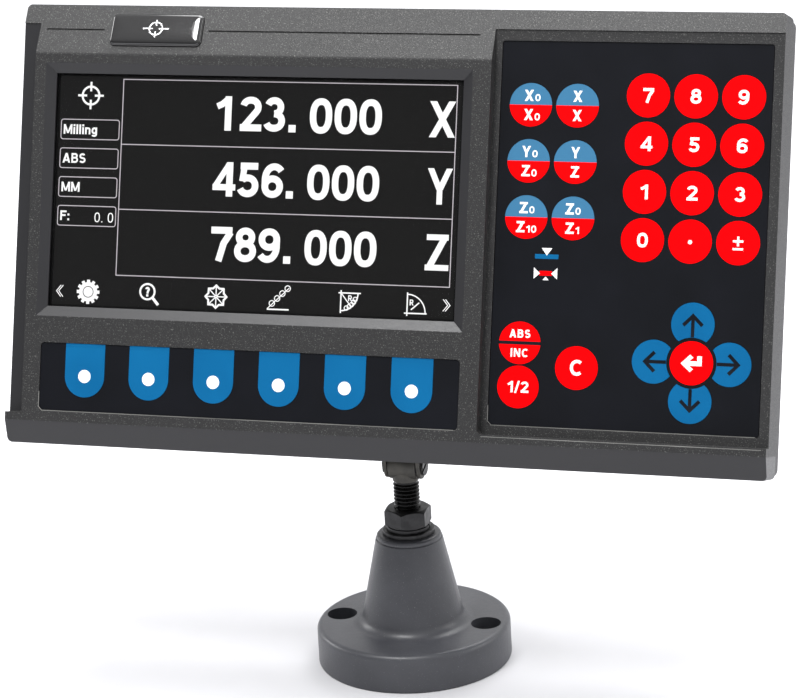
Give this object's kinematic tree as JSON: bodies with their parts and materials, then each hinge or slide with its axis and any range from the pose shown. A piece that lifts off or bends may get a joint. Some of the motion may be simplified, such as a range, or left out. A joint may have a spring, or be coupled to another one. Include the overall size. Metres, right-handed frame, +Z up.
{
  "type": "machine readout console",
  "caption": "Three-axis digital readout console for a milling machine: screen, softkeys and keypad in a tilting plastic case on a threaded stem and a round cast foot.",
  "frame": {"origin": "centre of the round foot's flat bottom face", "axes": "+Z up along the stem, the screen faces -Y and leans back, +X to the right of a person who faces the screen"},
  "size_m": [0.293, 0.1047, 0.2517],
  "materials": {
    "bezel_plastic": "fine grained dark charcoal moulding",
    "cover_plastic": "fine grained dark grey moulding",
    "foot_paint": "smooth dark grey paint over casting",
    "black_steel": "black oxide steel",
    "bracket_steel": "dark zinc-plated steel",
    "nylon": "black nylon",
    "badge_gloss": "domed gloss black resin",
    "membrane_film": "printed polyester film, near black",
    "key_red": "printed red key film",
    "key_blue": "printed blue key film",
    "screen_glass": "clear anti-glare window",
    "lcd": "dark display face in a steel frame",
    "board": "green circuit board",
    "socket_black": "black moulded socket",
    "socket_shell": "nickel-plated steel shell",
    "ribbon": "grey flat cable"
  },
  "bodies": {
    "base": {"pedestal_base": "foot_paint"},
    "clamp_set": {"top_lock_nut": "black_steel", "spring_washer": "black_steel", "flat_washer": "black_steel", "lower_nut": "black_steel", "lower_washer": "black_steel"},
    "stem": {"threaded_stud": "black_steel", "knuckle_eye": "bracket_steel"},
    "head": {"tilt_bracket": "bracket_steel", "pivot_screw": "black_steel", "pivot_nut": "black_steel", "friction_washers": "nylon", "bracket_screws": "black_steel", "front_bezel": "bezel_plastic", "rear_cover": "cover_plastic", "cover_screws": "black_steel", "badge": "badge_gloss", "lcd_module": "lcd", "lcd_window": "screen_glass", "softkey_overlay": "membrane_film", "keypad_overlay": "membrane_film", "softkey_board": "board", "keypad_board": "board", "main_board": "board", "power_inlet": "socket_black", "encoder_sockets": "socket_shell", "ribbon_cables": "ribbon"},
    "rocker": {"power_rocker": "socket_black"},
    "key_seven_body": {"key_seven": "key_red"},
    "key_eight_body": {"key_eight": "key_red"},
    "key_nine_body": {"key_nine": "key_red"},
    "key_four_body": {"key_four": "key_red"},
    "key_five_body": {"key_five": "key_red"},
    "key_six_body": {"key_six": "key_red"},
    "key_one_body": {"key_one": "key_red"},
    "key_two_body": {"key_two": "key_red"},
    "key_three_body": {"key_three": "key_red"},
    "key_zero_body": {"key_zero": "key_red"},
    "key_point_body": {"key_point": "key_red"},
    "key_sign_body": {"key_sign": "key_red"},
    "key_x_zero_body": {"key_x_zero": "key_blue"},
    "key_x_select_body": {"key_x_select": "key_blue"},
    "key_y_zero_body": {"key_y_zero": "key_blue"},
    "key_y_select_body": {"key_y_select": "key_blue"},
    "key_z_zero_body": {"key_z_zero": "key_blue"},
    "key_z_select_body": {"key_z_select": "key_blue"},
    "key_mode_body": {"key_mode": "key_red"},
    "key_half_body": {"key_half": "key_red"},
    "key_clear_body": {"key_clear": "key_red"},
    "key_enter_body": {"key_enter": "key_red"},
    "key_arrow_up_body": {"key_arrow_up": "key_blue"},
    "key_arrow_down_body": {"key_arrow_down": "key_blue"},
    "key_arrow_left_body": {"key_arrow_left": "key_blue"},
    "key_arrow_right_body": {"key_arrow_right": "key_blue"},
    "softkey_1_body": {"softkey_1": "key_blue"},
    "softkey_2_body": {"softkey_2": "key_blue"},
    "softkey_3_body": {"softkey_3": "key_blue"},
    "softkey_4_body": {"softkey_4": "key_blue"},
    "softkey_5_body": {"softkey_5": "key_blue"},
    "softkey_6_body": {"softkey_6": "key_blue"}
  },
  "joints": [
    {"name": "pan_swivel", "type": "hinge", "parent": "base", "child": "clamp_set", "pos_m": [0, 0, 0.0512], "axis": [0, 0, 1], "range_deg": [-170, 170]},
    {"name": "height_adjust", "type": "slide", "parent": "clamp_set", "child": "stem", "axis": [0, 0, 1], "range_m": [-0.0095, 0.02]},
    {"name": "head_tilt", "type": "hinge", "parent": "stem", "child": "head", "pos_m": [0, 0, 0.0789], "axis": [1, 0, 0], "range_deg": [-25, 25]},
    {"name": "power_switch", "type": "hinge", "parent": "head", "child": "rocker", "pos_m": [-0.076, 0.02691, 0.12051], "axis": [1, 0, 0], "range_deg": [-24, 0]},
    {"name": "press_seven", "type": "slide", "parent": "head", "child": "key_seven_body", "axis": [0, 0.9455, -0.3256], "range_m": [0, 0.0004], "stiffness_N_per_m": 1500, "springref_m": -0.0005},
    {"name": "press_eight", "type": "slide", "parent": "head", "child": "key_eight_body", "axis": [0, 0.9455, -0.3256], "range_m": [0, 0.0004], "stiffness_N_per_m": 1500, "springref_m": -0.0005},
    {"name": "press_nine", "type": "slide", "parent": "head", "child": "key_nine_body", "axis": [0, 0.9455, -0.3256], "range_m": [0, 0.0004], "stiffness_N_per_m": 1500, "springref_m": -0.0005},
    {"name": "press_four", "type": "slide", "parent": "head", "child": "key_four_body", "axis": [0, 0.9455, -0.3256], "range_m": [0, 0.0004], "stiffness_N_per_m": 1500, "springref_m": -0.0005},
    {"name": "press_five", "type": "slide", "parent": "head", "child": "key_five_body", "axis": [0, 0.9455, -0.3256], "range_m": [0, 0.0004], "stiffness_N_per_m": 1500, "springref_m": -0.0005},
    {"name": "press_six", "type": "slide", "parent": "head", "child": "key_six_body", "axis": [0, 0.9455, -0.3256], "range_m": [0, 0.0004], "stiffness_N_per_m": 1500, "springref_m": -0.0005},
    {"name": "press_one", "type": "slide", "parent": "head", "child": "key_one_body", "axis": [0, 0.9455, -0.3256], "range_m": [0, 0.0004], "stiffness_N_per_m": 1500, "springref_m": -0.0005},
    {"name": "press_two", "type": "slide", "parent": "head", "child": "key_two_body", "axis": [0, 0.9455, -0.3256], "range_m": [0, 0.0004], "stiffness_N_per_m": 1500, "springref_m": -0.0005},
    {"name": "press_three", "type": "slide", "parent": "head", "child": "key_three_body", "axis": [0, 0.9455, -0.3256], "range_m": [0, 0.0004], "stiffness_N_per_m": 1500, "springref_m": -0.0005},
    {"name": "press_zero", "type": "slide", "parent": "head", "child": "key_zero_body", "axis": [0, 0.9455, -0.3256], "range_m": [0, 0.0004], "stiffness_N_per_m": 1500, "springref_m": -0.0005},
    {"name": "press_point", "type": "slide", "parent": "head", "child": "key_point_body", "axis": [0, 0.9455, -0.3256], "range_m": [0, 0.0004], "stiffness_N_per_m": 1500, "springref_m": -0.0005},
    {"name": "press_sign", "type": "slide", "parent": "head", "child": "key_sign_body", "axis": [0, 0.9455, -0.3256], "range_m": [0, 0.0004], "stiffness_N_per_m": 1500, "springref_m": -0.0005},
    {"name": "press_x_zero", "type": "slide", "parent": "head", "child": "key_x_zero_body", "axis": [0, 0.9455, -0.3256], "range_m": [0, 0.0004], "stiffness_N_per_m": 1500, "springref_m": -0.0005},
    {"name": "press_x_select", "type": "slide", "parent": "head", "child": "key_x_select_body", "axis": [0, 0.9455, -0.3256], "range_m": [0, 0.0004], "stiffness_N_per_m": 1500, "springref_m": -0.0005},
    {"name": "press_y_zero", "type": "slide", "parent": "head", "child": "key_y_zero_body", "axis": [0, 0.9455, -0.3256], "range_m": [0, 0.0004], "stiffness_N_per_m": 1500, "springref_m": -0.0005},
    {"name": "press_y_select", "type": "slide", "parent": "head", "child": "key_y_select_body", "axis": [0, 0.9455, -0.3256], "range_m": [0, 0.0004], "stiffness_N_per_m": 1500, "springref_m": -0.0005},
    {"name": "press_z_zero", "type": "slide", "parent": "head", "child": "key_z_zero_body", "axis": [0, 0.9455, -0.3256], "range_m": [0, 0.0004], "stiffness_N_per_m": 1500, "springref_m": -0.0005},
    {"name": "press_z_select", "type": "slide", "parent": "head", "child": "key_z_select_body", "axis": [0, 0.9455, -0.3256], "range_m": [0, 0.0004], "stiffness_N_per_m": 1500, "springref_m": -0.0005},
    {"name": "press_mode", "type": "slide", "parent": "head", "child": "key_mode_body", "axis": [0, 0.9455, -0.3256], "range_m": [0, 0.0004], "stiffness_N_per_m": 1500, "springref_m": -0.0005},
    {"name": "press_half", "type": "slide", "parent": "head", "child": "key_half_body", "axis": [0, 0.9455, -0.3256], "range_m": [0, 0.0004], "stiffness_N_per_m": 1500, "springref_m": -0.0005},
    {"name": "press_clear", "type": "slide", "parent": "head", "child": "key_clear_body", "axis": [0, 0.9455, -0.3256], "range_m": [0, 0.0004], "stiffness_N_per_m": 1500, "springref_m": -0.0005},
    {"name": "press_enter", "type": "slide", "parent": "head", "child": "key_enter_body", "axis": [0, 0.9455, -0.3256], "range_m": [0, 0.0004], "stiffness_N_per_m": 1500, "springref_m": -0.0005},
    {"name": "press_arrow_up", "type": "slide", "parent": "head", "child": "key_arrow_up_body", "axis": [0, 0.9455, -0.3256], "range_m": [0, 0.0004], "stiffness_N_per_m": 1500, "springref_m": -0.0005},
    {"name": "press_arrow_down", "type": "slide", "parent": "head", "child": "key_arrow_down_body", "axis": [0, 0.9455, -0.3256], "range_m": [0, 0.0004], "stiffness_N_per_m": 1500, "springref_m": -0.0005},
    {"name": "press_arrow_left", "type": "slide", "parent": "head", "child": "key_arrow_left_body", "axis": [0, 0.9455, -0.3256], "range_m": [0, 0.0004], "stiffness_N_per_m": 1500, "springref_m": -0.0005},
    {"name": "press_arrow_right", "type": "slide", "parent": "head", "child": "key_arrow_right_body", "axis": [0, 0.9455, -0.3256], "range_m": [0, 0.0004], "stiffness_N_per_m": 1500, "springref_m": -0.0005},
    {"name": "press_softkey_1", "type": "slide", "parent": "head", "child": "softkey_1_body", "axis": [0, 0.9455, -0.3256], "range_m": [0, 0.0004], "stiffness_N_per_m": 1500, "springref_m": -0.0005},
    {"name": "press_softkey_2", "type": "slide", "parent": "head", "child": "softkey_2_body", "axis": [0, 0.9455, -0.3256], "range_m": [0, 0.0004], "stiffness_N_per_m": 1500, "springref_m": -0.0005},
    {"name": "press_softkey_3", "type": "slide", "parent": "head", "child": "softkey_3_body", "axis": [0, 0.9455, -0.3256], "range_m": [0, 0.0004], "stiffness_N_per_m": 1500, "springref_m": -0.0005},
    {"name": "press_softkey_4", "type": "slide", "parent": "head", "child": "softkey_4_body", "axis": [0, 0.9455, -0.3256], "range_m": [0, 0.0004], "stiffness_N_per_m": 1500, "springref_m": -0.0005},
    {"name": "press_softkey_5", "type": "slide", "parent": "head", "child": "softkey_5_body", "axis": [0, 0.9455, -0.3256], "range_m": [0, 0.0004], "stiffness_N_per_m": 1500, "springref_m": -0.0005},
    {"name": "press_softkey_6", "type": "slide", "parent": "head", "child": "softkey_6_body", "axis": [0, 0.9455, -0.3256], "range_m": [0, 0.0004], "stiffness_N_per_m": 1500, "springref_m": -0.0005}
  ]
}
